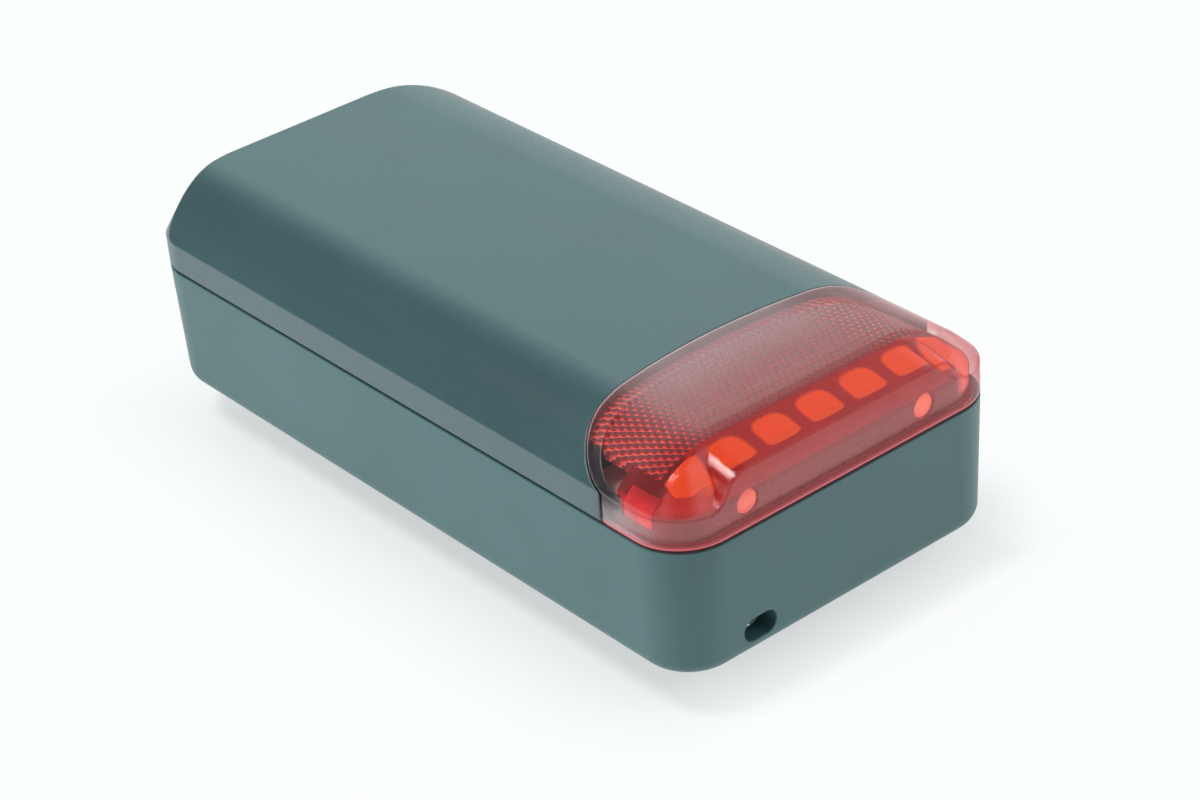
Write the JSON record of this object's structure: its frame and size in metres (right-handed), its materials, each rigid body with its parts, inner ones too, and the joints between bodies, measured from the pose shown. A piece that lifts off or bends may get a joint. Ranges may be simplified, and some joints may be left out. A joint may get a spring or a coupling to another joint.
{
  "type": "bike radar tail light",
  "caption": "Rear bike light with a built-in radar: a long low case with a domed radar cover, a clear light lens, a charging door, a power button and a quarter-turn mount.",
  "frame": {"origin": "centre of the end face of the quarter-turn mount, under the middle of the case", "axes": "+X along the case towards the light lens, +Y across the case towards the power button, +Z out of the radar cover"},
  "size_m": [0.098, 0.0484, 0.0308],
  "materials": {
    "housing_plastic": "fine matte texture",
    "cover_plastic": "fine matte texture",
    "clear_lens": "clear polished polycarbonate",
    "black_rubber": "matte",
    "red_reflector": "prismatic",
    "red_bezel": "satin",
    "red_diffuser": "translucent",
    "orange_studs": "translucent",
    "board_white": "solder mask",
    "spreader_metal": "plain",
    "led_white": "clear dome",
    "screw_steel": "zinc plated",
    "cable_film": "polyimide",
    "battery_wrap": "foil pouch",
    "foam": "closed-cell foam",
    "chassis_plastic": "moulded",
    "board_green": "solder mask",
    "chip_black": "moulded",
    "connector_plastic": "moulded",
    "spacer_metal": "plain",
    "gold_plate": "gold plated",
    "shield_metal": "tin plated",
    "door_rubber": "matte",
    "button_plastic": "fine matte texture",
    "clear_pipe": "translucent",
    "mount_plastic": "glass filled",
    "vent_film": "expanded membrane"
  },
  "bodies": {
    "case": {"rear_housing": "housing_plastic", "front_cover": "cover_plastic", "lens": "clear_lens", "housing_seal": "black_rubber", "reflex_reflector": "red_reflector", "led_bezel": "red_bezel", "led_diffuser": "red_diffuser", "side_light_guides": "red_diffuser", "bezel_studs": "orange_studs", "led_board": "board_white", "led_heat_spreader": "spreader_metal", "leds": "led_white", "led_screws": "screw_steel", "led_ribbon_cable": "cable_film", "battery": "battery_wrap", "battery_foam": "foam", "inner_chassis": "chassis_plastic", "main_board": "board_green", "board_components": "chip_black", "board_connector": "connector_plastic", "radar_spacers": "spacer_metal", "radar_board": "board_green", "patch_antennas": "gold_plate", "radar_shield": "shield_metal", "board_screws": "screw_steel", "usb_connector": "shield_metal", "usb_door_pin": "screw_steel", "button_seal": "black_rubber", "switch_board": "board_green", "tact_switch": "shield_metal", "status_led": "led_white", "status_light_pipe": "clear_pipe", "quarter_turn_mount": "mount_plastic", "mount_screws": "screw_steel", "case_screws": "screw_steel", "vent_membrane": "vent_film"},
    "button": {"power_button": "button_plastic"},
    "plunger": {"switch_plunger": "chip_black"},
    "door": {"usb_door": "door_rubber"}
  },
  "joints": [
    {"name": "button_press", "type": "slide", "parent": "case", "child": "button", "axis": [0, -1, 0], "range_m": [0, 0.0005], "stiffness_N_per_m": 2000},
    {"name": "plunger_press", "type": "slide", "parent": "case", "child": "plunger", "axis": [0, -1, 0], "range_m": [0, 0.0005]},
    {"name": "usb_door_hinge", "type": "hinge", "parent": "case", "child": "door", "pos_m": [-0.04751, 0, 0.0122], "axis": [0, -1, 0], "range_deg": [0, 90]}
  ],
  "couplings": [
    {"joint": "plunger_press", "follows": "button_press", "ratio": 1}
  ]
}
